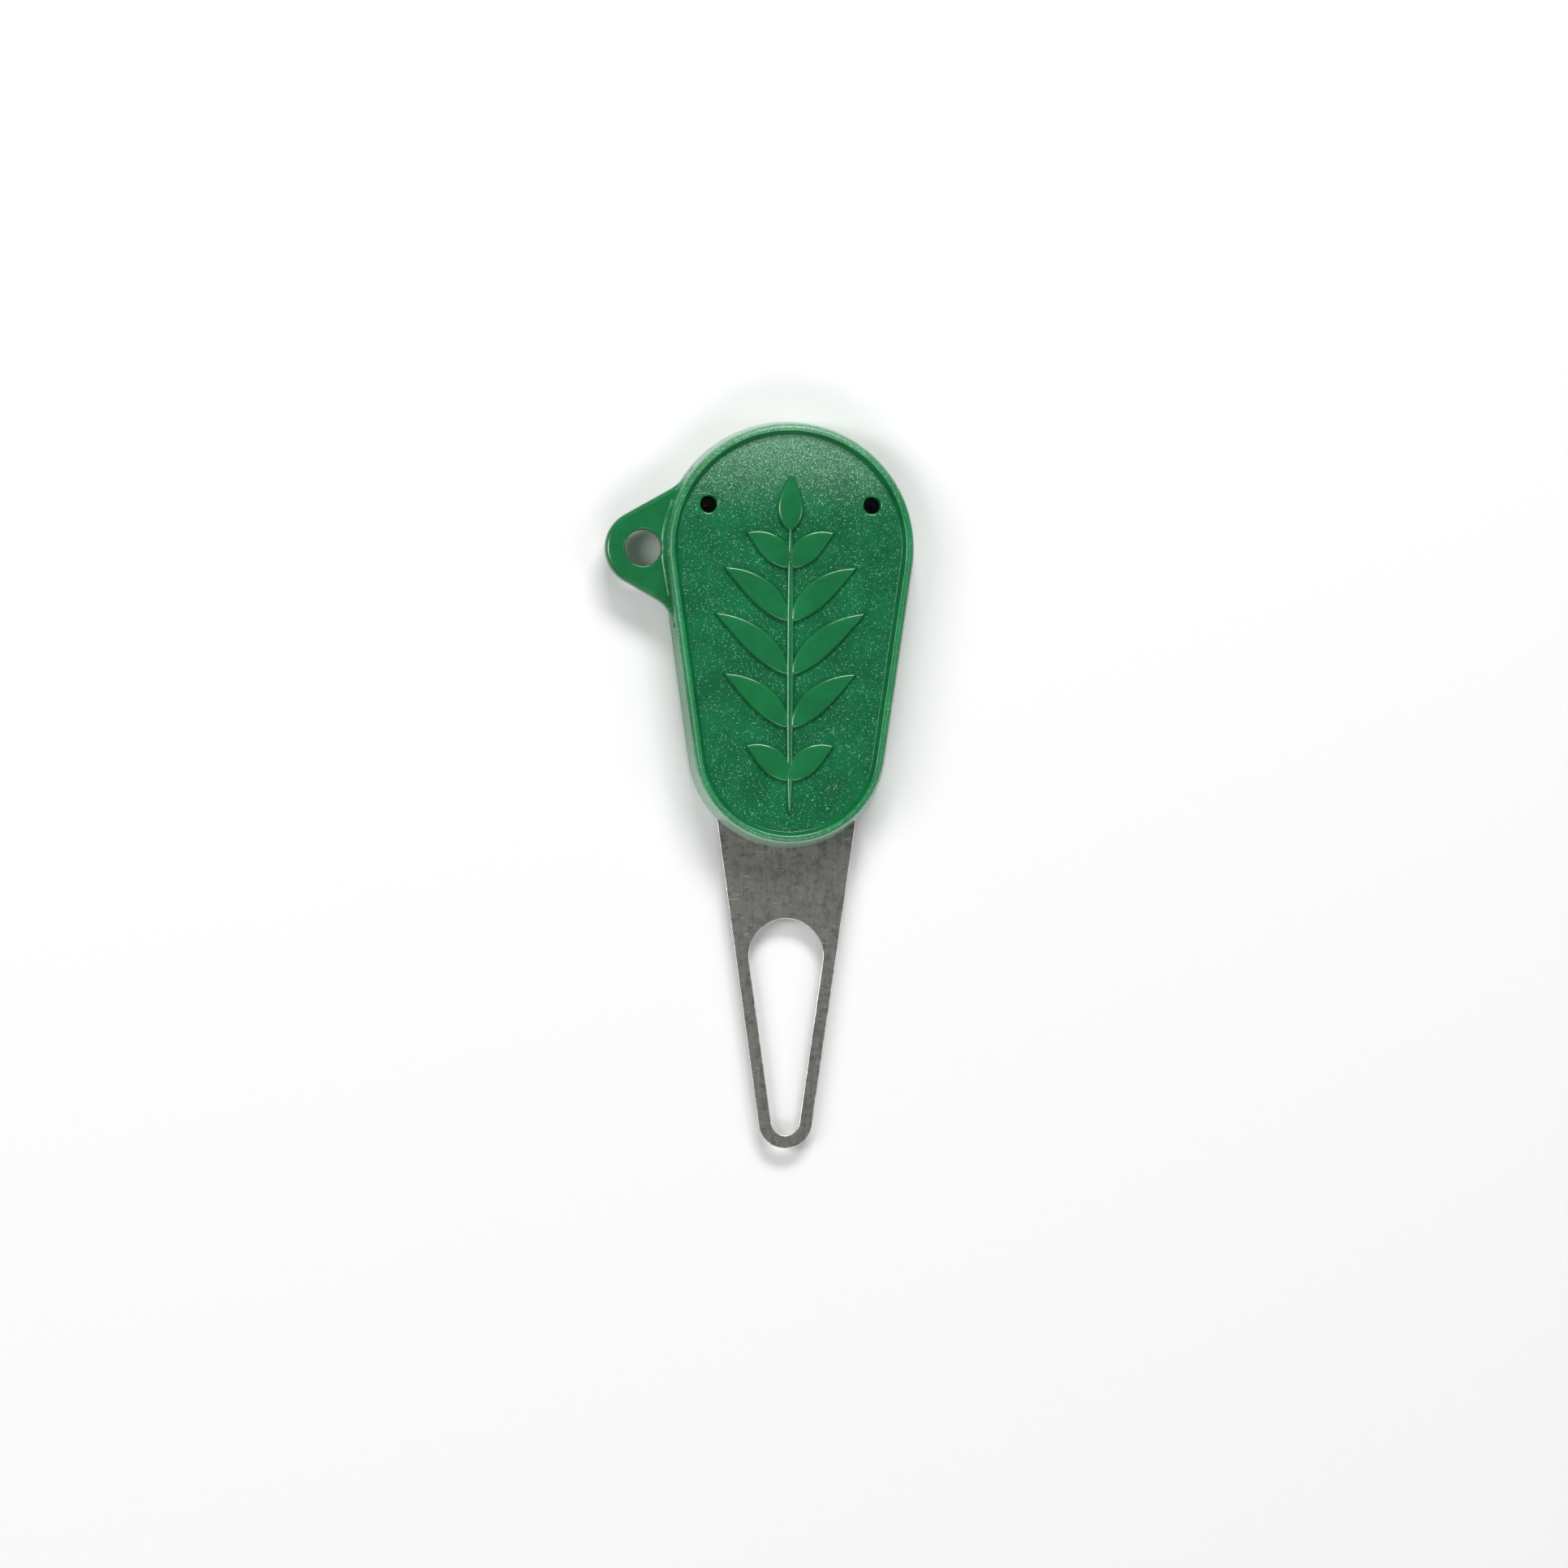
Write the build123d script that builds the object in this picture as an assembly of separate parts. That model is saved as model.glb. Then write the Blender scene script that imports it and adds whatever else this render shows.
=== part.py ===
from build123d import *
import os
from math import asin, cos, pi, sin

# A flat pocket tool: a moulded plastic grip that clamps a tapered loop of spring steel.
# Millimetres. The origin is on the back face, below the centre of the grip's round end.
# +X is to the right, with the lanyard lug on the left, the steel loop points along -Y,
# and +Z comes out of the decorated face.

# Grip outline: a large arc above a small one, joined by two tangent lines
DOME_RADIUS = 11.75
END_RADIUS = 9.15
ARC_DISTANCE = 18.5

# Grip in section
GRIP_THICKNESS = 5.0
PARTING_Z = 1.5
PANEL_INSET = 1.4
PANEL_DEPTH = 0.6
PANEL_THICKNESS = 1.2
WALL = 1.6
WALL_DRAFT = 6.5
BACK_DRAFT = 3.0
RIM_SLOPE = 31.0
RIM_OUTER_ROUND = 0.55
RIM_INNER_ROUND = 0.15
BACK_ROUND = 0.5

# Steel loop
SHEET_THICKNESS = 0.3
TANG_RADIUS = 9.9
TIP_RADIUS = 2.5
TIP_DISTANCE = 52.9
STRIP_WIDTH = 1.2
SLOT_TOP_DISTANCE = 37.65
TANG_CLEARANCE = 0.05

# Dowel pins and their holes
PIN_RADIUS = 0.75
PIN_LENGTH = 2.3
PIN_HOLE_RADIUS = 0.76
TANG_HOLE_RADIUS = 0.8
PIN_X = 7.55
PIN_Y = 3.9
PIN_BOTTOM_Z = 0.4
PIN_CHAMFER = 0.1
BOSS_RADIUS = 1.7

# Lanyard lug
LUG_CENTRE_X = -13.5
LUG_CENTRE_Y = -0.1
LUG_RADIUS = 3.5
LUG_THICKNESS = 2.0
LUG_FLARE = 29.5
LUG_CORNER_RADIUS = 1.2
LUG_EDGE_ROUND = 0.3
LUG_ROOT_INSET = 0.25
LANYARD_HOLE_RADIUS = 1.7
LANYARD_HOLE_ROUND = 0.15

# Tongue round the seam
TONGUE_INSET = 0.55
TONGUE_WIDTH = 0.5
TONGUE_HEIGHT = 0.35
TONGUE_CLEARANCE = 0.05

# Ribs that press on the tang
RIB_THICKNESS = 1.0
RIB_YS = (6.0, -4.0, -11.5)
JAW_Y = -19.0

# Ornament raised on the panel: a sprig with pairs of leaves
STEM_HEIGHT = 0.36
STEM_WIDTH = 0.8
STEM_BOTTOM_Y = -24.6
STEM_TOP_Y = 2.0
LEAF_HEIGHT = 0.42
LEAF_WIDTH = 2.5
LEAF_LEAN = 50.0
LEAF_BOW = 0.5
LEAF_PAIRS = 5
LEAF_PITCH = 4.9
LEAF_ROOT_X = 0.15
FIRST_LEAF_Y = -21.6
SHORT_LEAF = 5.2
LONG_LEAF = 9.0

PANEL_Z = GRIP_THICKNESS - PANEL_DEPTH
CAVITY_TOP_Z = PANEL_Z - PANEL_THICKNESS
SHEET_Z = PARTING_Z - SHEET_THICKNESS
TAPER_SINE = (TANG_RADIUS - TIP_RADIUS) / TIP_DISTANCE


def taper_outline(top_radius, end_radius, distance, top_y=0.0):
    """Face bounded by a top arc about (0, top_y) and an end arc a distance below it."""
    lean = asin((top_radius - end_radius) / distance)
    end_y = top_y - distance
    top_x = top_radius * cos(lean)
    top_join_y = top_y - top_radius * sin(lean)
    end_x = end_radius * cos(lean)
    end_join_y = end_y - end_radius * sin(lean)
    return make_face([
        ThreePointArc((top_x, top_join_y), (0, top_y + top_radius), (-top_x, top_join_y)),
        Line((-top_x, top_join_y), (-end_x, end_join_y)),
        ThreePointArc((-end_x, end_join_y), (0, end_y - end_radius), (end_x, end_join_y)),
        Line((end_x, end_join_y), (top_x, top_join_y)),
    ])


def grip_outline(inset=0.0):
    return taper_outline(DOME_RADIUS - inset, END_RADIUS - inset, ARC_DISTANCE)


def plate_outline(margin=0.0):
    return taper_outline(TANG_RADIUS + margin, TIP_RADIUS + margin, TIP_DISTANCE)


def slot_outline():
    """Long slot whose sides keep both strips of the loop equally wide."""
    slot_end_radius = TIP_RADIUS - STRIP_WIDTH
    length = TIP_DISTANCE - SLOT_TOP_DISTANCE
    slot_top_radius = slot_end_radius + length * TAPER_SINE
    return taper_outline(slot_top_radius, slot_end_radius, length, -SLOT_TOP_DISTANCE)


def slab(face, bottom_z, top_z, draft=0.0):
    return Pos(0, 0, bottom_z) * extrude(face, top_z - bottom_z, taper=draft)


def post(x, y, radius, bottom_z, top_z):
    return slab(Pos(x, y) * Circle(radius), bottom_z, top_z)


def pin_places():
    return [(-PIN_X, PIN_Y), (PIN_X, PIN_Y)]


# Lanyard lug

def lug_wedge():
    """Flat wedge with a round nose that runs into the side of the grip."""
    inner_x = -8.5
    nose = Vector(LUG_CENTRE_X, LUG_CENTRE_Y)
    reach = inner_x - LUG_CENTRE_X
    upper = nose + Vector(-LUG_RADIUS, 0).rotate(Axis.Z, -90 + LUG_FLARE)
    lower = nose + Vector(-LUG_RADIUS, 0).rotate(Axis.Z, 90 - LUG_FLARE)
    along = Vector(1, 0).rotate(Axis.Z, LUG_FLARE)
    run = (reach + LUG_RADIUS / 2) / along.X
    upper_end = upper + along * run
    lower_end = lower + Vector(along.X, -along.Y) * run
    return make_face([
        ThreePointArc(lower, nose + Vector(-LUG_RADIUS, 0), upper),
        Line(upper, upper_end),
        Line(upper_end, lower_end),
        Line(lower_end, lower),
    ])


def lug():
    """Lug with fillets into the grip's side, rounded edges and a hole for a cord."""
    outline = grip_outline(LUG_ROOT_INSET) + lug_wedge()
    corners = [v for v in outline.vertices() if -12 < v.X < -9.5 and abs(v.Y) < 8]
    outline = fillet(corners, LUG_CORNER_RADIUS)
    solid = slab(outline, PARTING_Z, PARTING_Z + LUG_THICKNESS)
    side = slab(Pos(-12.5, 0) * Rectangle(10, 20), 0, GRIP_THICKNESS)
    flats = solid.faces().filter_by(Axis.Z)
    solid = fillet(flats.edges(), LUG_EDGE_ROUND) & side
    hole = post(LUG_CENTRE_X, LUG_CENTRE_Y, LANYARD_HOLE_RADIUS, 0, GRIP_THICKNESS)
    solid -= hole
    rims = solid.edges().filter_by(GeomType.CIRCLE)
    rims = [e for e in rims if abs(e.radius - LANYARD_HOLE_RADIUS) < 0.01 and e.is_closed]
    return fillet(rims, LANYARD_HOLE_ROUND)


# Ornament

def blade(midline, width, skew, bluntness, height):
    """Raised shape about a midline. Its half width is a power of a skewed sine."""
    samples = 14
    left = []
    right = []
    for i in range(1, samples):
        t = (1 - cos(pi * i / samples)) / 2
        half = width / 2 * sin(pi * t ** skew) ** bluntness
        sideways = (midline % t).rotate(Axis.Z, 90) * half
        left.append(midline @ t + sideways)
        right.append(midline @ t - sideways)
    start = midline @ 0
    end = midline @ 1
    outline = make_face([Spline(start, *left, end), Spline(end, *reversed(right), start)])
    return slab(outline, PANEL_Z - 0.3, PANEL_Z + height)


def leaf(root, heading, length, bow):
    """Pointed leaf from its root towards a heading in degrees, bowed sideways."""
    ahead = Vector(1, 0).rotate(Axis.Z, heading)
    aside = ahead.rotate(Axis.Z, 90)
    middle = root + ahead * length / 2 + aside * bow
    return blade(Spline(root, middle, root + ahead * length), LEAF_WIDTH, 0.8, 0.8, LEAF_HEIGHT)


def ornament():
    """Sprig: a straight stem, pairs of leaves that are longest halfway up, and a leaf on top."""
    stem = Line((0, STEM_BOTTOM_Y), (0, STEM_TOP_Y))
    shapes = [blade(stem, STEM_WIDTH, 1.0, 0.2, STEM_HEIGHT)]
    for i in range(LEAF_PAIRS):
        root_y = FIRST_LEAF_Y + i * LEAF_PITCH
        length = SHORT_LEAF + (LONG_LEAF - SHORT_LEAF) * sin(pi * i / (LEAF_PAIRS - 1))
        for side in (-1, 1):
            root = Vector(side * LEAF_ROOT_X, root_y)
            shapes.append(leaf(root, 90 - side * LEAF_LEAN, length, side * LEAF_BOW))
    shapes.append(leaf(Vector(0, STEM_TOP_Y - 0.6), 90, SHORT_LEAF, 0))
    return shapes


# Pieces

def cavity():
    """Hollow behind the panel, interrupted by ribs and by the jaw at the loop's exit."""
    hollow = slab(grip_outline(WALL), PARTING_Z, CAVITY_TOP_Z)
    for y in RIB_YS:
        hollow -= slab(Pos(0, y) * Rectangle(30, RIB_THICKNESS), PARTING_Z, CAVITY_TOP_Z)
    hollow -= slab(Rectangle(RIB_THICKNESS, 60), PARTING_Z, CAVITY_TOP_Z)
    hollow -= slab(Pos(0, JAW_Y - 10) * Rectangle(30, 20), PARTING_Z, CAVITY_TOP_Z)
    for x, y in pin_places():
        hollow -= post(x, y, BOSS_RADIUS, PARTING_Z, CAVITY_TOP_Z)
    return hollow


def seam_ring(clearance, height):
    """Ring along the middle of the wall, left out where the steel loop comes through."""
    outer = grip_outline(TONGUE_INSET - clearance)
    inner = grip_outline(TONGUE_INSET + TONGUE_WIDTH + clearance)
    ring = slab(outer - inner, PARTING_Z, PARTING_Z + height)
    gap = Pos(0, JAW_Y - 10 - clearance) * Rectangle(30, 20)
    return ring - slab(gap, PARTING_Z, PARTING_Z + height)


def front_shell():
    body = slab(grip_outline(), PARTING_Z, GRIP_THICKNESS, WALL_DRAFT)
    body = fillet(body.faces().sort_by(Axis.Z)[-1].edges(), RIM_OUTER_ROUND)
    body -= slab(grip_outline(PANEL_INSET), PANEL_Z, GRIP_THICKNESS, -RIM_SLOPE)
    body = fillet(body.faces().sort_by(Axis.Z)[-1].inner_wires()[0].edges(), RIM_INNER_ROUND)
    body += lug()
    body -= cavity()
    body -= seam_ring(TONGUE_CLEARANCE, TONGUE_HEIGHT + TONGUE_CLEARANCE)
    for shape in ornament():
        body += shape
    for x, y in pin_places():
        body -= post(x, y, PIN_HOLE_RADIUS, 0, GRIP_THICKNESS)
    return body


def back_cover():
    body = Pos(0, 0, PARTING_Z) * extrude(grip_outline(), -PARTING_Z, taper=BACK_DRAFT)
    body = fillet(body.faces().sort_by(Axis.Z)[0].edges(), BACK_ROUND)
    body += seam_ring(0, TONGUE_HEIGHT)
    body -= slab(plate_outline(TANG_CLEARANCE), SHEET_Z, PARTING_Z + TONGUE_HEIGHT)
    for x, y in pin_places():
        body -= post(x, y, PIN_HOLE_RADIUS, PIN_BOTTOM_Z, PARTING_Z)
    return body


def loop_plate():
    outline = plate_outline() - slot_outline()
    for x, y in pin_places():
        outline -= Pos(x, y) * Circle(TANG_HOLE_RADIUS)
    return slab(outline, SHEET_Z, PARTING_Z)


def dowel_pin(x, y):
    pin = post(x, y, PIN_RADIUS, PIN_BOTTOM_Z, PIN_BOTTOM_Z + PIN_LENGTH)
    return chamfer(pin.edges().filter_by(GeomType.CIRCLE), PIN_CHAMFER)


def main():
    (left_x, left_y), (right_x, right_y) = pin_places()
    pieces = {
        "front_shell": front_shell(),
        "back_cover": back_cover(),
        "steel_loop": loop_plate(),
        "left_dowel_pin": dowel_pin(left_x, left_y),
        "right_dowel_pin": dowel_pin(right_x, right_y),
    }
    os.makedirs("parts", exist_ok=True)
    for name, piece in pieces.items():
        piece.label = name
        export_step(piece, f"parts/{name}.step")


main()
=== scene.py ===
from math import asin, atan2, cos, pi, radians, sin, sqrt, tan

import bmesh
import bpy
import numpy as np
from mathutils import Matrix, Vector


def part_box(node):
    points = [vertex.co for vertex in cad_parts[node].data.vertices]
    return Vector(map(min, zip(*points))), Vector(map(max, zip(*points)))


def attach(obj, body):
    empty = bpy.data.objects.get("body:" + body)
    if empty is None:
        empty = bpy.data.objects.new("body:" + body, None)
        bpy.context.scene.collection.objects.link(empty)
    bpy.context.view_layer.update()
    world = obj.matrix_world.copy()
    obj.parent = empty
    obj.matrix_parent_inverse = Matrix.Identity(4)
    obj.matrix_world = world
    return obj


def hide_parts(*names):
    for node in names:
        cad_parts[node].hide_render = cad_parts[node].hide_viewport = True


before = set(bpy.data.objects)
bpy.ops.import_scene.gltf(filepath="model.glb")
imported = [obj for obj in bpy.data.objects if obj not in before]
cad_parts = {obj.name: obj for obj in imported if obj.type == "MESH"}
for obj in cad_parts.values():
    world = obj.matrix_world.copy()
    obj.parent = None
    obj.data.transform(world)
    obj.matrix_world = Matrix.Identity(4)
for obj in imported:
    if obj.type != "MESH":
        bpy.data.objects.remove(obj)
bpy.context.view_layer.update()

# All sizes are in millimetres here and go to metres when a mesh is made.
MM = 0.001

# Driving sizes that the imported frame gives
SHELL_LOW, SHELL_HIGH = (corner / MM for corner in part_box("front_shell"))
PLATE_LOW, PLATE_HIGH = (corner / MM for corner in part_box("steel_loop"))
PARTING_Z = SHELL_LOW.z
RIM_Z = SHELL_HIGH.z
DOME_RADIUS = SHELL_HIGH.x
TANG_RADIUS = PLATE_HIGH.x

# Grip: a large arc above a small one, joined by tangent lines
END_RADIUS = 9.15
ARC_DISTANCE = -SHELL_LOW.y - END_RADIUS
WALL_DRAFT = 6.5
RIM_OUTER_ROUND = 0.55
RIM_INNER_ROUND = 0.2
PANEL_INSET = 1.4
PANEL_DEPTH = 0.6
PANEL_FILLET = 0.08
RIM_SLOPE = 31.0
PANEL_Z = RIM_Z - PANEL_DEPTH

# Steel loop
TIP_RADIUS = 2.5
TIP_DISTANCE = -PLATE_LOW.y - TIP_RADIUS
STRIP_WIDTH = 1.2
SLOT_TOP_DISTANCE = 37.65
SHEET_EDGE = 0.07
TANG_HOLE_RADIUS = 0.8

# Pins and the lanyard lug
PIN_PLACES = ((-7.55, 3.9), (7.55, 3.9))
PIN_HOLE_RADIUS = 0.76
HOLE_EDGE = 0.22
LUG_CENTRE = Vector((-13.5, -0.1))
LUG_RADIUS = LUG_CENTRE.x - SHELL_LOW.x
LUG_THICKNESS = 2.0
LUG_FLARE = radians(29.5)
LUG_EDGE = 0.42
LUG_ROOT_INSET = 0.25
LUG_FILLET_RUN = 1.6
LUG_VALLEY_RADIUS = 0.42
LUG_VALLEY_REACH = 4.4
LUG_VALLEY_ROOT = 0.5
LUG_VALLEY_SINK = 0.4
LUG_FILLET_END_INSET = 0.06
LUG_TAIL = 0.6
LANYARD_HOLE_RADIUS = 1.7
LANYARD_HOLE_EDGE = 0.15

# How far a cutter runs past the faces it cuts, and how far a raised shape is sunk
CUT_CLEARANCE = 0.2
HOLE_CLEARANCE = 0.6
RELIEF_SINK = 0.2
PAST_SIDES = 15.0
PAST_ENDS = 30.0

# Inside of the grip front
PANEL_THICKNESS = 1.2
CAVITY_TOP_Z = PANEL_Z - PANEL_THICKNESS
WALL = 1.6
BOSS_RADIUS = 1.7
RIB_THICKNESS = 1.0
RIB_YS = (6.0, -4.0, -11.5)
JAW_Y = -19.0
GROOVE_INSET = 0.5
GROOVE_WIDTH = 0.6
GROOVE_DEPTH = 0.4
GROOVE_END_GAP = 0.05

# Ornament: a sprig with pairs of leaves, as in the CAD part
STEM_HEIGHT = 0.36
STEM_WIDTH = 0.8
STEM_BOTTOM_Y = -24.6
STEM_TOP_Y = 2.0
LEAF_HEIGHT = 0.42
LEAF_WIDTH = 2.5
LEAF_LEAN = 50.0
LEAF_BOW = 0.5
LEAF_PAIRS = 5
LEAF_PITCH = 4.9
LEAF_ROOT_X = 0.15
FIRST_LEAF_Y = -21.6
SHORT_LEAF = 5.2
LONG_LEAF = 9.0
LEAF_SKEW = 0.8
LEAF_BLUNTNESS = 0.8
STEM_BLUNTNESS = 0.2
TOP_LEAF_OVERLAP = 0.6
ORNAMENT_ROLL = 0.24
CROWN_SHARE = 0.2
CROWN_REACH = 0.45

# Studio: places and sizes in millimetres, powers in watts
STUDIO_CENTRE = (0, -20, 0)
FLOOR_REACH = 2500
WORLD_STRENGTH = 0.16

# Camera: a long lens nearly overhead, tilted a little to the lug's side, angles in degrees
CAMERA_TARGET = (-0.33, -21.78, 2.5)
CAMERA_DISTANCE = 700.0
CAMERA_FIELD = 144.62
CAMERA_TILT_X = 5.0
CAMERA_TILT_Y = 1.23
CAMERA_ROLL = -0.23
SENSOR_WIDTH = 36.0


# Mesh helpers

def new_object(name, mesh):
    obj = bpy.data.objects.new(name, mesh)
    bpy.context.scene.collection.objects.link(obj)
    return obj


def mesh_from(name, points, faces):
    """Object whose points are given in millimetres."""
    mesh = bpy.data.meshes.new(name)
    mesh.from_pydata([tuple(c * MM for c in p) for p in points], [], faces)
    bm = bmesh.new()
    bm.from_mesh(mesh)
    bmesh.ops.remove_doubles(bm, verts=bm.verts, dist=1e-8)
    bmesh.ops.recalc_face_normals(bm, faces=bm.faces)
    if bm.calc_volume(signed=True) < 0:
        bmesh.ops.reverse_faces(bm, faces=bm.faces)
    bm.to_mesh(mesh)
    bm.free()
    return new_object(name, mesh)


def rings_solid(name, rings):
    """Closed solid through equally long rings of points, capped at both ends."""
    count = len(rings[0])
    points = [p for ring in rings for p in ring]
    faces = []
    for level in range(len(rings) - 1):
        low = level * count
        high = low + count
        for i in range(count):
            j = (i + 1) % count
            faces.append((low + i, low + j, high + j, high + i))
    faces.append(tuple(range(count - 1, -1, -1)))
    last = (len(rings) - 1) * count
    faces.append(tuple(last + i for i in range(count)))
    return mesh_from(name, points, faces)


def boolean(target, tool, operation):
    """Applies a boolean to the target and removes the tool."""
    modifier = target.modifiers.new("boolean", "BOOLEAN")
    modifier.operation = operation
    modifier.solver = "MANIFOLD"
    modifier.object = tool
    depsgraph = bpy.context.evaluated_depsgraph_get()
    result = bpy.data.meshes.new_from_object(target.evaluated_get(depsgraph))
    target.modifiers.clear()
    old = target.data
    target.data = result
    bpy.data.meshes.remove(old)
    bpy.data.objects.remove(tool)
    return target


def arc_points(centre, radius, start, end, count):
    """Points on an arc, both ends included; angles in radians."""
    angles = [start + (end - start) * i / count for i in range(count + 1)]
    return [(centre[0] + radius * cos(a), centre[1] + radius * sin(a)) for a in angles]


def taper_ring(top_radius, end_radius, distance, top_y=0.0, arc_steps=72, side_steps=14):
    """Ring of a top arc about (0, top_y) and an end arc a distance below it."""
    lean = asin((top_radius - end_radius) / distance)
    top = arc_points((0, top_y), top_radius, -lean, pi + lean, arc_steps)
    end = arc_points((0, top_y - distance), end_radius, pi + lean, 2 * pi - lean, arc_steps)
    ring = list(top)
    for i in range(1, side_steps):
        share = i / side_steps
        ring.append(tuple(a + (b - a) * share for a, b in zip(top[-1], end[0])))
    ring += end
    for i in range(1, side_steps):
        share = i / side_steps
        ring.append(tuple(a + (b - a) * share for a, b in zip(end[-1], top[0])))
    return ring


def grip_ring(inset, z):
    ring = taper_ring(DOME_RADIUS - inset, END_RADIUS - inset, ARC_DISTANCE)
    return [(x, y, z) for x, y in ring]


def plate_ring(inset, z):
    ring = taper_ring(TANG_RADIUS - inset, TIP_RADIUS - inset, TIP_DISTANCE, side_steps=40)
    return [(x, y, z) for x, y in ring]


def slot_ring(inset, z):
    """Ring of the long slot. A negative inset makes it wider."""
    taper = (TANG_RADIUS - TIP_RADIUS) / TIP_DISTANCE
    length = TIP_DISTANCE - SLOT_TOP_DISTANCE
    end_radius = TIP_RADIUS - STRIP_WIDTH
    top_radius = end_radius + length * taper
    ring = taper_ring(top_radius - inset, end_radius - inset, length, -SLOT_TOP_DISTANCE)
    return [(x, y, z) for x, y in ring]


def circle_ring(x, y, radius, z, count=64):
    ring = arc_points((x, y), radius, 0, 2 * pi, count)[:-1]
    return [(px, py, z) for px, py in ring]


def round_profile(edge, low_z, high_z, steps=5):
    """(inset, z) pairs up the side of a slab whose two edges are rounded."""
    angles = [pi / 2 * i / steps for i in range(steps + 1)]
    low = [(edge * (1 - sin(a)), low_z + edge * (1 - cos(a))) for a in angles]
    high = [(edge * (1 - cos(a)), high_z - edge * (1 - sin(a))) for a in angles]
    return low + high


def hole_cutter(name, x, y, radius, edge, low_z, high_z):
    """Cutter for a round hole whose two mouths flare with a rounded edge."""
    rings = [circle_ring(x, y, radius + edge, low_z - HOLE_CLEARANCE)]
    rings += [circle_ring(x, y, radius + inset, z) for inset, z in round_profile(edge, low_z, high_z)]
    rings.append(circle_ring(x, y, radius + edge, high_z + HOLE_CLEARANCE))
    return rings_solid(name, rings)


# Grip front

def shell_profile():
    """(inset, z) pairs from the parting plane over the rim and down to the panel."""
    draft = radians(WALL_DRAFT)
    slope = radians(RIM_SLOPE)
    top_inset = (RIM_Z - PARTING_Z) * tan(draft)
    round_run = RIM_OUTER_ROUND * tan((pi / 2 - draft) / 2)
    outer_centre = (top_inset + round_run, RIM_Z - RIM_OUTER_ROUND)
    inner_run = RIM_INNER_ROUND * tan((pi / 2 - slope) / 2)
    slope_top = PANEL_INSET - PANEL_DEPTH * tan(slope)
    inner_centre = (slope_top - inner_run, RIM_Z - RIM_INNER_ROUND)
    profile = [(0.04, PARTING_Z), (0.0, PARTING_Z + 0.04)]
    wall_steps = 6
    wall_end_z = outer_centre[1] + RIM_OUTER_ROUND * sin(draft)
    for i in range(1, wall_steps):
        z = PARTING_Z + (wall_end_z - PARTING_Z) * i / wall_steps
        profile.append(((z - PARTING_Z) * tan(draft), z))
    profile += arc_points(outer_centre, RIM_OUTER_ROUND, pi - draft, pi / 2, 10)
    profile += arc_points(inner_centre, RIM_INNER_ROUND, pi / 2, slope, 6)
    fillet_run = PANEL_FILLET * tan((pi / 2 - slope) / 2)
    fillet_centre = (PANEL_INSET + fillet_run, PANEL_Z + PANEL_FILLET)
    profile += arc_points(fillet_centre, PANEL_FILLET, pi + slope, 3 * pi / 2, 4)
    return profile


def grip_depth(x, y):
    """How far a point lies inside the grip's widest outline; negative outside."""
    lean = asin((DOME_RADIUS - END_RADIUS) / ARC_DISTANCE)
    across = abs(x)
    along = -y
    down = along * cos(lean) - across * sin(lean)
    if down < 0:
        return DOME_RADIUS - np.hypot(across, along)
    if down > ARC_DISTANCE * cos(lean):
        return END_RADIUS - np.hypot(across, along - ARC_DISTANCE)
    return DOME_RADIUS - across * cos(lean) - along * sin(lean)


def lug_flank(side):
    """Edge of the lug from its nose to the grip's wall; side is 1 above and -1 below."""
    normal = Vector((-sin(LUG_FLARE), side * cos(LUG_FLARE)))
    along = Vector((cos(LUG_FLARE), side * sin(LUG_FLARE)))
    start = LUG_CENTRE + normal * LUG_RADIUS
    run = 0.0
    while grip_depth(*(start + along * run)) < LUG_ROOT_INSET:
        run += 0.01
    corner = start + along * run
    angle = atan2(corner.y, corner.x)
    up_wall = Vector((sin(angle), -cos(angle))) * side
    wall_end = corner + up_wall * LUG_FILLET_RUN
    wall_end += wall_end.normalized() * (grip_depth(*wall_end) - LUG_FILLET_END_INSET)
    fillet_start = corner - along * LUG_FILLET_RUN
    points = [start.lerp(fillet_start, i / 4) for i in range(4)]
    for i in range(13):
        t = i / 12
        points.append(fillet_start * (1 - t) ** 2 + corner * 2 * t * (1 - t) + wall_end * t ** 2)
    inward = -wall_end.normalized()
    points.append(wall_end + inward * LUG_TAIL)
    return points


def lug_ring():
    """Edge of the lug, anticlockwise, closed inside the grip."""
    upper = lug_flank(1)
    lower = lug_flank(-1)
    start = pi / 2 + LUG_FLARE
    nose = arc_points(LUG_CENTRE, LUG_RADIUS, start, 2 * pi - start, 48)[1:-1]
    return [tuple(p) for p in reversed(upper)] + nose + [tuple(p) for p in lower]


def wall_point(y, inset):
    """Point of the grip's left side at a height y, an inset inside its widest outline."""
    lean = asin((DOME_RADIUS - END_RADIUS) / ARC_DISTANCE)
    if y > -DOME_RADIUS * sin(lean):
        return Vector((-sqrt((DOME_RADIUS - inset) ** 2 - y ** 2), y))
    return Vector((-(DOME_RADIUS - inset + y * sin(lean)) / cos(lean), y))


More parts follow.
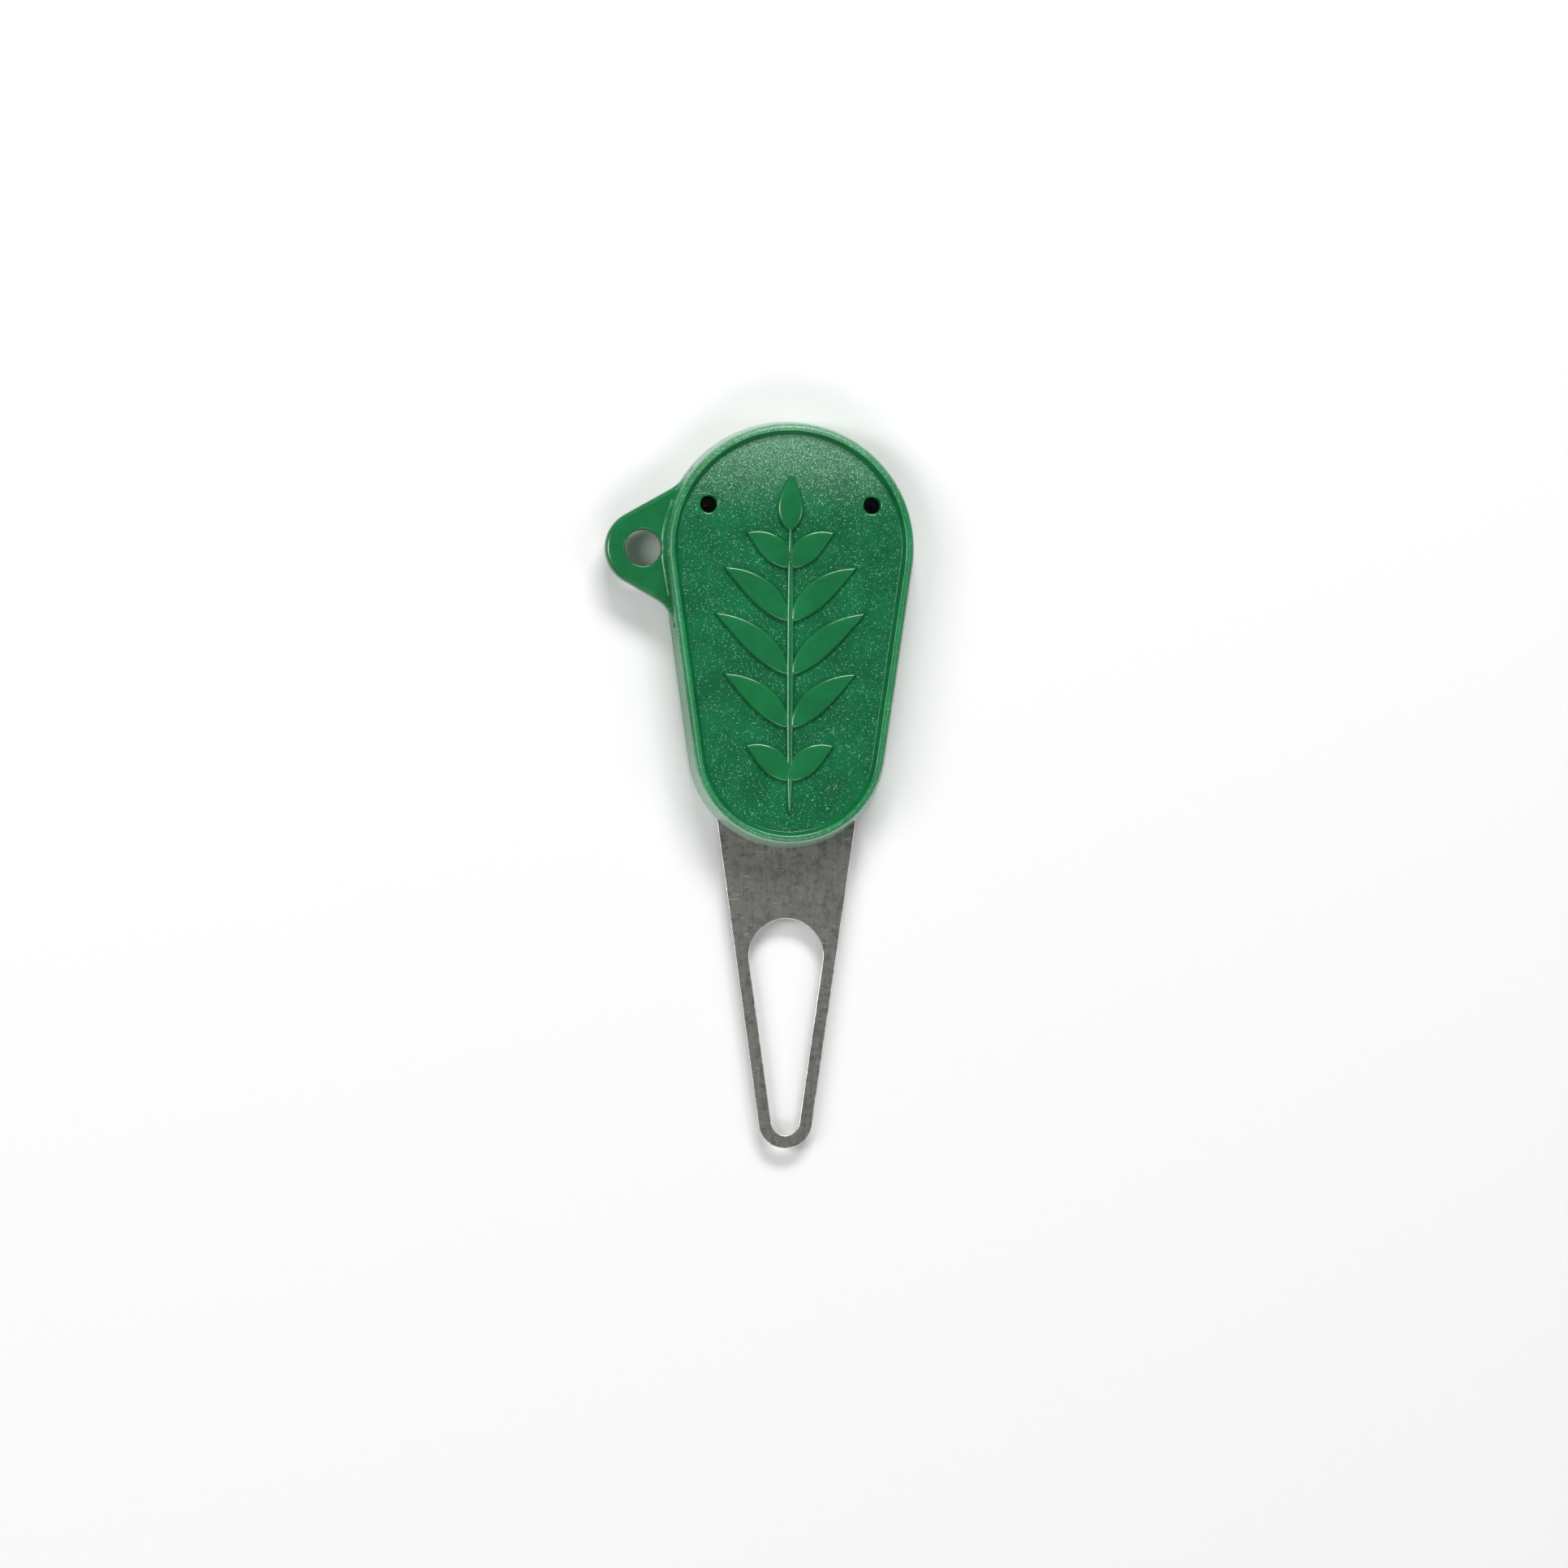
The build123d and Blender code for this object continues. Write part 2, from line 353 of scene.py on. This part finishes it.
def lug_valley():
    """Concave fillet between the lug's face and the grip's wall, thinner towards its ends."""
    face_z = PARTING_Z + LUG_THICKNESS
    inset = LUG_THICKNESS * tan(radians(WALL_DRAFT))
    steps = 40
    rings = []
    for i in range(steps + 1):
        share = i / steps
        y = LUG_VALLEY_REACH * (1 - 2 * share) + LUG_CENTRE.y
        foot = wall_point(y, inset)
        ahead = wall_point(y - 0.01, inset) - wall_point(y + 0.01, inset)
        outward = Vector((ahead.y, -ahead.x)).normalized()
        radius = LUG_VALLEY_RADIUS * (0.6 + 0.4 * sin(pi * share))
        section = [(-LUG_VALLEY_ROOT, -LUG_VALLEY_SINK), (radius, -LUG_VALLEY_SINK)]
        for k in range(9):
            angle = pi / 2 * k / 8
            section.append((radius * (1 - sin(angle)), radius * (1 - cos(angle)) + 0.001))
        section.append((-LUG_VALLEY_ROOT, radius))
        rings.append([(*(foot + outward * d), face_z + h) for d, h in section])
    return rings_solid("lug valley", rings)


def offset_ring(ring, inset):
    """The ring moved inwards along its own normals; it runs anticlockwise."""
    points = np.array(ring)
    tangent = np.roll(points, -1, axis=0) - np.roll(points, 1, axis=0)
    tangent /= np.linalg.norm(tangent, axis=1)[:, None]
    normal = np.stack([-tangent[:, 1], tangent[:, 0]], axis=1)
    return points + normal * inset


def lug_solid():
    ring = lug_ring()
    rings = []
    for inset, z in round_profile(LUG_EDGE, PARTING_Z, PARTING_Z + LUG_THICKNESS, 6):
        rings.append([(x, y, z) for x, y in offset_ring(ring, inset)])
    return rings_solid("lug", rings)


# Ornament

def smooth_path(points, count):
    """Evenly spaced points on a Catmull-Rom curve through the given ones, and its normals."""
    ends = [2 * np.array(points[0]) - points[1], 2 * np.array(points[-1]) - points[-2]]
    knots = np.array([ends[0], *points, ends[1]], float)
    fine = []
    for a, b, c, d in zip(knots, knots[1:], knots[2:], knots[3:]):
        for t in np.linspace(0, 1, 24, endpoint=False):
            fine.append(0.5 * (2 * b + (c - a) * t + (2 * a - 5 * b + 4 * c - d) * t ** 2
                               + (3 * b - a - 3 * c + d) * t ** 3))
    fine.append(knots[-2])
    fine = np.array(fine)
    length = np.concatenate([[0], np.cumsum(np.linalg.norm(np.diff(fine, axis=0), axis=1))])
    share = (1 - np.cos(np.linspace(0, pi, count))) / 2
    where = share * length[-1]
    path = np.stack([np.interp(where, length, fine[:, k]) for k in (0, 1)], axis=1)
    tangent = np.gradient(fine, length, axis=0)
    tangent = np.stack([np.interp(where, length, tangent[:, k]) for k in (0, 1)], axis=1)
    tangent /= np.linalg.norm(tangent, axis=1)[:, None]
    return path, np.stack([-tangent[:, 1], tangent[:, 0]], axis=1), share


def distance_to_line(points, line):
    """Distance of each point to a polyline."""
    start, end = line[:-1], line[1:]
    step = end - start
    length = np.maximum((step ** 2).sum(axis=1), 1e-12)
    offset = points[:, None, :] - start[None]
    t = np.clip((offset * step[None]).sum(axis=2) / length, 0, 1)
    gap = offset - t[..., None] * step[None]
    return np.sqrt((gap ** 2).sum(axis=2)).min(axis=1)


def blade(points, width, skew, bluntness, height, roll, along=44, across=15):
    """Raised shape about a midline, as a closed solid with a rounded edge of width roll."""
    path, normal, share = smooth_path(points, along)
    half = width / 2 * np.sin(pi * np.clip(share, 1e-6, 1 - 1e-6) ** skew) ** bluntness
    left = path + normal * half[:, None]
    right = path - normal * half[:, None]
    edge = np.concatenate([left, right[::-1], left[:1]])
    spread = np.sin(np.linspace(-pi / 2, pi / 2, across))
    grid = path[1:-1, None, :] + normal[1:-1, None, :] * (half[1:-1, None] * spread[None])[..., None]
    flat = grid.reshape(-1, 2)
    gap = distance_to_line(flat, edge)
    rise = np.sqrt(1 - (1 - np.clip(gap / roll, 0, 1)) ** 2)
    crown = np.clip(gap / (width * CROWN_REACH), 0, 1)
    rise = rise * (1 - CROWN_SHARE + CROWN_SHARE * (2 * crown - crown ** 2))
    base = PANEL_Z - RELIEF_SINK
    rows, columns = along - 2, across
    verts = [(x, y, PANEL_Z + height * r) for (x, y), r in zip(flat, rise)]
    verts += [(x, y, base) for x, y in flat]
    tips = [tuple(path[0]), tuple(path[-1])]
    verts += [(*tips[0], PANEL_Z), (*tips[1], PANEL_Z), (*tips[0], base), (*tips[1], base)]
    under = rows * columns
    start_top, end_top, start_low, end_low = range(2 * under, 2 * under + 4)
    faces = []
    for i in range(rows - 1):
        for j in range(columns - 1):
            a = i * columns + j
            faces.append((a, a + 1, a + columns + 1, a + columns))
            faces.append((under + a, under + a + columns, under + a + columns + 1, under + a + 1))
        for j in (0, columns - 1):
            a = i * columns + j
            faces.append((a, a + columns, under + a + columns, under + a))
    last = (rows - 1) * columns
    for j in range(columns - 1):
        faces.append((start_top, j + 1, j))
        faces.append((start_low, under + j, under + j + 1))
        faces.append((end_top, last + j, last + j + 1))
        faces.append((end_low, under + last + j + 1, under + last + j))
    for j in (0, columns - 1):
        faces.append((start_top, j, under + j, start_low))
        faces.append((end_top, last + j, under + last + j, end_low))
    return mesh_from("blade", verts, faces)


def leaf(root, heading, length, bow):
    """Pointed leaf from its root towards a heading in degrees, bowed sideways."""
    angle = radians(heading)
    ahead = np.array([cos(angle), sin(angle)])
    aside = np.array([-ahead[1], ahead[0]])
    points = []
    for t in (0.0, 0.25, 0.5, 0.75, 1.0):
        points.append(root + ahead * length * t + aside * bow * 4 * t * (1 - t))
    return blade(points, LEAF_WIDTH, LEAF_SKEW, LEAF_BLUNTNESS, LEAF_HEIGHT, ORNAMENT_ROLL, 44, 21)


def ornament():
    """Sprig: a straight stem, pairs of leaves that are longest halfway up, and a leaf on top."""
    stem = [(0.0, STEM_BOTTOM_Y), (0.0, (STEM_BOTTOM_Y + STEM_TOP_Y) / 2), (0.0, STEM_TOP_Y)]
    shapes = [blade(stem, STEM_WIDTH, 1.0, STEM_BLUNTNESS, STEM_HEIGHT, ORNAMENT_ROLL, 90, 15)]
    for i in range(LEAF_PAIRS):
        root_y = FIRST_LEAF_Y + i * LEAF_PITCH
        length = SHORT_LEAF + (LONG_LEAF - SHORT_LEAF) * sin(pi * i / (LEAF_PAIRS - 1))
        for side in (-1, 1):
            root = np.array([side * LEAF_ROOT_X, root_y])
            shapes.append(leaf(root, 90 - side * LEAF_LEAN, length, side * LEAF_BOW))
    shapes.append(leaf(np.array([0.0, STEM_TOP_Y - TOP_LEAF_OVERLAP]), 90, SHORT_LEAF, 0.0))
    return shapes


# Inside of the grip front

def block(name, half_width, low_y, high_y, low_z, high_z):
    """Box across the middle of the grip."""
    corners = [(-half_width, low_y), (half_width, low_y), (half_width, high_y), (-half_width, high_y)]
    return rings_solid(name, [[(x, y, z) for x, y in corners] for z in (low_z, high_z)])


def cavity():
    """Hollow behind the panel, interrupted by ribs, bosses and the jaw at the loop's exit."""
    low_z = PARTING_Z - CUT_CLEARANCE
    hollow = rings_solid("cavity", [grip_ring(WALL, low_z), grip_ring(WALL, CAVITY_TOP_Z)])
    clear = (low_z - CUT_CLEARANCE, CAVITY_TOP_Z + CUT_CLEARANCE)
    half_rib = RIB_THICKNESS / 2
    for y in RIB_YS:
        boolean(hollow, block("rib", PAST_SIDES, y - half_rib, y + half_rib, *clear), "DIFFERENCE")
    boolean(hollow, block("long rib", half_rib, -PAST_ENDS, PAST_ENDS, *clear), "DIFFERENCE")
    boolean(hollow, block("jaw", PAST_SIDES, -PAST_ENDS, JAW_Y, *clear), "DIFFERENCE")
    for x, y in PIN_PLACES:
        boss = rings_solid("boss", [circle_ring(x, y, BOSS_RADIUS, z) for z in clear])
        boolean(hollow, boss, "DIFFERENCE")
    return hollow


def seam_groove():
    """Groove round the seam for the cover's tongue, left out where the steel comes through."""
    low_z = PARTING_Z - CUT_CLEARANCE
    high_z = PARTING_Z + GROOVE_DEPTH
    clear = (low_z - CUT_CLEARANCE, high_z + CUT_CLEARANCE)
    inner_inset = GROOVE_INSET + GROOVE_WIDTH
    groove = rings_solid("groove", [grip_ring(GROOVE_INSET, z) for z in (low_z, high_z)])
    core = [grip_ring(inner_inset, z) for z in clear]
    boolean(groove, rings_solid("groove core", core), "DIFFERENCE")
    gap = block("groove gap", PAST_SIDES, -PAST_ENDS, JAW_Y - GROOVE_END_GAP, *clear)
    return boolean(groove, gap, "DIFFERENCE")


def smooth_shading(obj, angle):
    mesh = obj.data
    mesh.polygons.foreach_set("use_smooth", [True] * len(mesh.polygons))
    mesh.set_sharp_from_angle(angle=radians(angle))
    modifier = obj.modifiers.new("weighted normals", "WEIGHTED_NORMAL")
    modifier.keep_sharp = True
    depsgraph = bpy.context.evaluated_depsgraph_get()
    result = bpy.data.meshes.new_from_object(obj.evaluated_get(depsgraph))
    obj.modifiers.clear()
    obj.data = result


def grip_front():
    body = rings_solid("grip_front", [grip_ring(inset, z) for inset, z in shell_profile()])
    boolean(body, lug_solid(), "UNION")
    boolean(body, lug_valley(), "UNION")
    for shape in ornament():
        boolean(body, shape, "UNION")
    boolean(body, cavity(), "DIFFERENCE")
    boolean(body, seam_groove(), "DIFFERENCE")
    bore = hole_cutter("bore", *LUG_CENTRE, LANYARD_HOLE_RADIUS, LANYARD_HOLE_EDGE,
                       PARTING_Z, PARTING_Z + LUG_THICKNESS)
    boolean(body, bore, "DIFFERENCE")
    for x, y in PIN_PLACES:
        cutter = hole_cutter("pin hole", x, y, PIN_HOLE_RADIUS, HOLE_EDGE, PARTING_Z, PANEL_Z)
        boolean(body, cutter, "DIFFERENCE")
    return body


def steel_plate():
    low_z, high_z = PLATE_LOW.z, PLATE_HIGH.z
    rings = [plate_ring(inset, z) for inset, z in round_profile(SHEET_EDGE, low_z, high_z, 3)]
    plate = rings_solid("steel_loop_sheet", rings)
    rings = [slot_ring(-SHEET_EDGE, low_z - CUT_CLEARANCE)]
    rings += [slot_ring(-inset, z) for inset, z in round_profile(SHEET_EDGE, low_z, high_z, 3)]
    rings.append(slot_ring(-SHEET_EDGE, high_z + CUT_CLEARANCE))
    boolean(plate, rings_solid("slot", rings), "DIFFERENCE")
    for x, y in PIN_PLACES:
        hole = hole_cutter("tang hole", x, y, TANG_HOLE_RADIUS, SHEET_EDGE, low_z, high_z)
        boolean(plate, hole, "DIFFERENCE")
    return plate


# Materials

def linear(red, green, blue):
    """Linear colour from 8-bit display values."""
    values = [c / 255 for c in (red, green, blue)]
    return [c / 12.92 if c <= 0.04045 else ((c + 0.055) / 1.055) ** 2.4 for c in values] + [1.0]


# Painted glint colour for the plastic's specks.
PAINTED_GLINT_COLOUR = linear(150, 196, 168)
SCRATCH_COLOUR = linear(239, 239, 239)
# Painted sheen colour that pales the plastic towards its ends in place of reflected light.
PAINTED_SHEEN_COLOUR = linear(183, 213, 197)


def material(name):
    mat = bpy.data.materials.new(name)
    mat.use_nodes = True
    nodes = mat.node_tree.nodes
    return mat, nodes, mat.node_tree.links, nodes["Principled BSDF"]


def node(nodes, kind, **settings):
    made = nodes.new(kind)
    for key, value in settings.items():
        if key in made.inputs:
            made.inputs[key].default_value = value
        else:
            setattr(made, key, value)
    return made


def ramp(nodes, stops, interpolation="LINEAR"):
    made = nodes.new("ShaderNodeValToRGB")
    made.color_ramp.interpolation = interpolation
    elements = made.color_ramp.elements
    while len(elements) < len(stops):
        elements.new(0.5)
    for element, (place, colour) in zip(elements, stops):
        element.position = place
        element.color = colour
    return made


def grey(value):
    return (value, value, value, 1.0)


def math(nodes, links, operation, first, second):
    """Output of a math node whose inputs are sockets or numbers."""
    made = nodes.new("ShaderNodeMath")
    made.operation = operation
    for socket, value in zip(made.inputs, (first, second)):
        if isinstance(value, (int, float)):
            socket.default_value = value
        else:
            links.new(value, socket)
    return made.outputs[0]


def blend(nodes, links, factor, first, second, blend_type="MIX"):
    """Colour output of a mix node whose inputs are sockets, colours or a factor."""
    made = nodes.new("ShaderNodeMix")
    made.data_type = "RGBA"
    made.blend_type = blend_type
    for socket, value in zip((made.inputs[0], made.inputs[6], made.inputs[7]), (factor, first, second)):
        if isinstance(value, (int, float, tuple, list)):
            socket.default_value = value
        else:
            links.new(value, socket)
    return made.outputs[2]


def fade(nodes, links, coordinate, start, end):
    """0 before start and 1 past end along a coordinate, in millimetres."""
    made = nodes.new("ShaderNodeMapRange")
    made.interpolation_type = "SMOOTHSTEP"
    made.inputs["From Min"].default_value = start * MM
    made.inputs["From Max"].default_value = end * MM
    links.new(coordinate, made.inputs["Value"])
    return made.outputs["Result"]


def moulded_plastic(name, dark, light, roughness, relief, painted_glint_share, end_painted_glint_share, painted_sheen,
                    toe_highlight=0.0, specular=0.5):
    """Green plastic from a spark-eroded mould: cloudy tone, fine relief and pale specks painted as glints.

    The specks are painted glints that get denser, and a painted sheen pales the tone, towards the dome end
    in place of reflected light there, and by the toe share towards the other end.
    """
    mat, nodes, links, shader = material(name)
    place = node(nodes, "ShaderNodeTexCoord").outputs["Object"]
    axes = node(nodes, "ShaderNodeSeparateXYZ")
    links.new(place, axes.inputs["Vector"])
    # Painted highlight masks: they rise towards the dome end and, by the toe share, towards the toe end,
    # where reflected light is painted into the tone and the glints.
    dome_highlight_end = fade(nodes, links, axes.outputs["Y"], 2.0, 12.0)
    toe_end = math(nodes, links, "MULTIPLY", fade(nodes, links, axes.outputs["Y"], -16.0, -27.5), toe_highlight)
    ends = math(nodes, links, "ADD", dome_highlight_end, toe_end)
    cloud = node(nodes, "ShaderNodeTexNoise", Scale=300.0, Detail=4.0, Roughness=0.6)
    grain = node(nodes, "ShaderNodeTexNoise", Scale=7000.0, Detail=2.0, Roughness=0.6)
    cells = node(nodes, "ShaderNodeTexVoronoi", Scale=15500.0)
    for texture in (cloud, grain, cells):
        links.new(place, texture.inputs["Vector"])
    clouded = ramp(nodes, [(0.36, dark), (0.64, light)])
    links.new(cloud.outputs["Fac"], clouded.inputs["Fac"])
    grained = ramp(nodes, [(0.3, grey(0.72)), (0.7, grey(1.0))])
    links.new(grain.outputs["Fac"], grained.inputs["Fac"])
    base = blend(nodes, links, min(1.0, relief * 2), clouded.outputs["Color"],
                 grained.outputs["Color"], "MULTIPLY")
    # Painted sheen: the tone pales towards the ends in place of reflected light.
    base = blend(nodes, links, math(nodes, links, "MULTIPLY", ends, painted_sheen), base, PAINTED_SHEEN_COLOUR)
    # Painted glints: a share of tiny cells, larger towards the ends, turn pale in place of real sparkle
    # from the surface's facets.
    split = node(nodes, "ShaderNodeSeparateColor")
    links.new(cells.outputs["Color"], split.inputs["Color"])
    extra = math(nodes, links, "MULTIPLY", ends, end_painted_glint_share - painted_glint_share)
    share = math(nodes, links, "ADD", extra, painted_glint_share)
    over = math(nodes, links, "SUBTRACT", math(nodes, links, "ADD", split.outputs["Red"], share), 1.0)
    painted_glint = nodes.new("ShaderNodeClamp")
    links.new(math(nodes, links, "MULTIPLY", over, 40.0), painted_glint.inputs["Value"])
    strength = math(nodes, links, "POWER", split.outputs["Green"], 1.3)
    amount = math(nodes, links, "MULTIPLY", painted_glint.outputs["Result"], strength)
    links.new(blend(nodes, links, amount, base, PAINTED_GLINT_COLOUR), shader.inputs["Base Color"])
    uneven = math(nodes, links, "MULTIPLY", grain.outputs["Fac"], 0.2)
    links.new(math(nodes, links, "ADD", uneven, roughness - 0.1), shader.inputs["Roughness"])
    shader.inputs["Specular IOR Level"].default_value = specular
    height = math(nodes, links, "ADD", grain.outputs["Fac"], cells.outputs["Distance"])
    bump = node(nodes, "ShaderNodeBump", Strength=relief, Distance=0.00005)
    links.new(height, bump.inputs["Height"])
    links.new(bump.outputs["Normal"], shader.inputs["Normal"])
    return mat


def steel_material(name, dark, light, roughness):
    """Dark rolled steel: streaks along the sheet, mottling and a few fine scratches."""
    mat, nodes, links, shader = material(name)
    place = node(nodes, "ShaderNodeTexCoord")
    stretch = node(nodes, "ShaderNodeMapping")
    stretch.inputs["Scale"].default_value = (6.0, 0.35, 1.0)
    links.new(place.outputs["Object"], stretch.inputs["Vector"])
    streak = node(nodes, "ShaderNodeTexNoise", Scale=900.0, Detail=4.0, Roughness=0.7)
    links.new(stretch.outputs["Vector"], streak.inputs["Vector"])
    mottle = node(nodes, "ShaderNodeTexNoise", Scale=1500.0, Detail=5.0, Roughness=0.7)
    links.new(place.outputs["Object"], mottle.inputs["Vector"])
    both = node(nodes, "ShaderNodeMix", data_type="FLOAT")
    both.inputs[0].default_value = 0.75
    links.new(streak.outputs["Fac"], both.inputs[2])
    links.new(mottle.outputs["Fac"], both.inputs[3])
    base = ramp(nodes, [(0.4, dark), (0.6, light)])
    links.new(both.outputs[0], base.inputs["Fac"])
    bend = node(nodes, "ShaderNodeTexNoise", Scale=220.0, Detail=2.0)
    links.new(place.outputs["Object"], bend.inputs["Vector"])
    bent = blend(nodes, links, 0.0004, place.outputs["Object"], bend.outputs["Color"], "LINEAR_LIGHT")
    slant = node(nodes, "ShaderNodeMapping")
    slant.inputs["Rotation"].default_value = (0.0, 0.0, radians(25))
    slant.inputs["Scale"].default_value = (0.5, 3.0, 1.0)
    links.new(bent, slant.inputs["Vector"])
    hairs = node(nodes, "ShaderNodeTexNoise", Scale=2400.0, Detail=1.0)
    links.new(slant.outputs["Vector"], hairs.inputs["Vector"])
    scratch = ramp(nodes, [(0.68, grey(0.0)), (0.76, grey(0.45))])
    links.new(hairs.outputs["Fac"], scratch.inputs["Fac"])
    links.new(blend(nodes, links, scratch.outputs["Color"], base.outputs["Color"], SCRATCH_COLOUR),
              shader.inputs["Base Color"])
    shader.inputs["Metallic"].default_value = 1.0
    satin = ramp(nodes, [(0.3, grey(roughness + 0.08)), (0.7, grey(roughness - 0.08))])
    links.new(mottle.outputs["Fac"], satin.inputs["Fac"])
    links.new(satin.outputs["Color"], shader.inputs["Roughness"])
    relief = node(nodes, "ShaderNodeBump", Strength=0.25, Distance=0.00002)
    links.new(both.outputs[0], relief.inputs["Height"])
    links.new(relief.outputs["Normal"], shader.inputs["Normal"])
    return mat


def floor_material():
    """Plain matt white floor."""
    mat, *_, shader = material("studio_floor")
    shader.inputs["Base Color"].default_value = grey(0.82)
    shader.inputs["Roughness"].default_value = 0.8
    shader.inputs["Specular IOR Level"].default_value = 0.0
    return mat


# Pieces on the frame

def finish_front(front, panel, polished, crest, wall):
    """Gives each face the panel's, ornament's, crest's or wall's finish by where it lies."""
    mesh = front.data
    mesh.materials.clear()
    for mat in (panel, polished, crest, wall):
        mesh.materials.append(mat)
    slope_top = PANEL_INSET - PANEL_DEPTH * tan(radians(RIM_SLOPE))
    wall_top = (RIM_Z - PARTING_Z) * tan(radians(WALL_DRAFT)) + 0.12
    hole_reach = PIN_HOLE_RADIUS + HOLE_EDGE + 0.01
    for face in mesh.polygons:
        x, y, z = face.center / MM
        depth = grip_depth(x, y)
        at_hole = min(np.hypot(x - px, y - py) for px, py in PIN_PLACES) < hole_reach
        if depth > PANEL_INSET + 0.02 and z <= PANEL_Z + 0.004 and not at_hole:
            face.material_index = 0
        elif depth > slope_top - 0.03 or depth < -0.02:
            face.material_index = 1
        elif depth > wall_top:
            face.material_index = 2
        else:
            face.material_index = 3


def plastics():
    """Finishes of the panel, the polished places, the rim's crest and the wall."""
    # The sheen and glint shares paint a softbox's reflection towards the dome end; on the crest and the
    # wall they also paint the floor's reflection towards the toe end.
    panel = moulded_plastic("grip_spark_texture", linear(4, 92, 53), linear(10, 108, 64),
                            roughness=0.4, relief=0.45, painted_glint_share=0.07, end_painted_glint_share=0.6,
                            painted_sheen=0.14, specular=0.12)
    polished = moulded_plastic("grip_polished", linear(4, 97, 49), linear(8, 110, 59),
                               roughness=0.22, relief=0.04, painted_glint_share=0.0, end_painted_glint_share=0.0,
                               painted_sheen=0.0, specular=0.75)
    crest = moulded_plastic("grip_textured_crest", linear(10, 110, 60), linear(18, 126, 73),
                            roughness=0.3, relief=0.14, painted_glint_share=0.04, end_painted_glint_share=0.4,
                            painted_sheen=0.1, toe_highlight=0.4)
    wall = moulded_plastic("grip_smooth_wall", linear(10, 110, 60), linear(18, 126, 73),
                           roughness=0.18, relief=0.03, painted_glint_share=0.08, end_painted_glint_share=0.3,
                           painted_sheen=0.25, toe_highlight=2.2)
    return panel, polished, crest, wall


def build_pieces():
    panel, polished, crest, wall = plastics()
    steel = steel_material("dark_spring_steel", linear(115, 115, 111), linear(179, 179, 172), 0.4)
    bright_steel = steel_material("sheared_steel_edge", linear(196, 196, 193), linear(234, 234, 231), 0.35)
    # The pins' blackened steel is made almost black, partly painted shade standing in for the shade deep
    # in their holes.
    pin_steel = steel_material("blackened_and_painted_shade_pin_steel", linear(31, 31, 32), linear(52, 52, 55), 0.3)
    front = grip_front()
    finish_front(front, panel, polished, crest, wall)
    smooth_shading(front, 40)
    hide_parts("front_shell")
    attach(front, "root")
    plate = steel_plate()
    plate.data.materials.clear()
    plate.data.materials.append(steel)
    plate.data.materials.append(bright_steel)
    for face in plate.data.polygons:
        face.material_index = 0 if abs(face.normal.z) > 0.99 else 1
    smooth_shading(plate, 35)
    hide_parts("steel_loop")
    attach(plate, "root")
    for name, mat in (("back_cover", wall), ("left_dowel_pin", pin_steel), ("right_dowel_pin", pin_steel)):
        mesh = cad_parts[name].data
        mesh.materials.clear()
        mesh.materials.append(mat)


# Studio

def studio():
    corners = [(x * FLOOR_REACH, y * FLOOR_REACH, 0) for x, y in ((-1, -1), (1, -1), (1, 1), (-1, 1))]
    floor = mesh_from("studio_floor", corners, [(0, 1, 2, 3)])
    floor.data.materials.append(floor_material())
    world = bpy.data.worlds.new("studio")
    bpy.context.scene.world = world
    world.use_nodes = True
    background = world.node_tree.nodes["Background"]
    background.inputs["Color"].default_value = grey(1.0)
    background.inputs["Strength"].default_value = WORLD_STRENGTH
    bpy.context.scene.view_settings.view_transform = "Standard"


def soft_light(name, place, target, size, power):
    """Area light at a place in millimetres, aimed at a target."""
    lamp = bpy.data.lights.new(name, "AREA")
    lamp.shape = "RECTANGLE"
    lamp.size, lamp.size_y = (s * MM for s in size)
    lamp.energy = power
    obj = bpy.data.objects.new(name, lamp)
    bpy.context.scene.collection.objects.link(obj)
    obj.location = Vector(place) * MM
    direction = (Vector(target) - Vector(place)).normalized()
    obj.rotation_euler = direction.to_track_quat("-Z", "Y").to_euler()
    obj.visible_camera = False
    return obj


def lights():
    soft_light("key_top", (60, 440, 380), STUDIO_CENTRE, (320, 150), 2.9)
    soft_light("fill_bottom", (0, -430, 420), STUDIO_CENTRE, (400, 160), 1.0)
    soft_light("fill_left", (-360, 20, 430), STUDIO_CENTRE, (140, 320), 1.25)
    soft_light("fill_right", (420, -60, 420), STUDIO_CENTRE, (120, 280), 0.45)


def camera():
    """Nearly overhead, a little to the lug's side, through a long lens."""
    tilt_x, tilt_y, roll = (radians(a) for a in (CAMERA_TILT_X, CAMERA_TILT_Y, CAMERA_ROLL))
    back = Vector((-sin(tilt_x), -sin(tilt_y), 0))
    back.z = (1 - back.length_squared) ** 0.5
    right = Vector((sin(roll), cos(roll), 0)).cross(back).normalized()
    up = back.cross(right)
    place = (Vector(CAMERA_TARGET) + back * CAMERA_DISTANCE) * MM
    lens = bpy.data.cameras.new("camera")
    lens.sensor_width = SENSOR_WIDTH
    lens.lens = SENSOR_WIDTH * CAMERA_DISTANCE / CAMERA_FIELD
    obj = bpy.data.objects.new("camera", lens)
    bpy.context.scene.collection.objects.link(obj)
    turn = Matrix((right, up, back)).transposed().to_4x4()
    obj.matrix_world = Matrix.Translation(place) @ turn
    bpy.context.scene.camera = obj


camera()
studio()
lights()
build_pieces()
